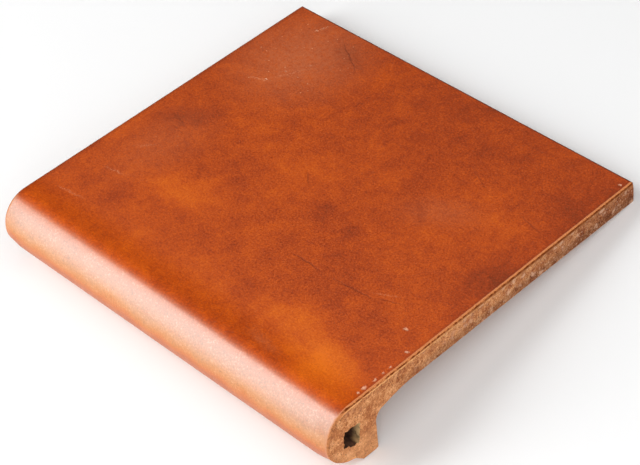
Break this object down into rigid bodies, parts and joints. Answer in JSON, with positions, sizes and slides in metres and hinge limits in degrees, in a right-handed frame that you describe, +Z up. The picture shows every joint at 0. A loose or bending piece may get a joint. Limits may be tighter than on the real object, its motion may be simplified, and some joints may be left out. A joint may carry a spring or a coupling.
{
  "type": "stair tread tile",
  "caption": "Glazed extruded stoneware stair tread tile with a round hollow nosing, a heel behind it and a plain flat tread plate.",
  "frame": {"origin": "middle of the footprint, on the floor that the tile rests on", "axes": "+X along the nosing, +Y from the nosing to the back edge, +Z up"},
  "size_m": [0.33, 0.3054, 0.0574],
  "materials": {
    "glazed_stoneware": "mottled orange-brown glaze on the top and nosing, bare fired clay on the ends, heel and underside"
  },
  "bodies": {
    "root": {"stair_tread": "glazed_stoneware"}
  },
  "joints": []
}
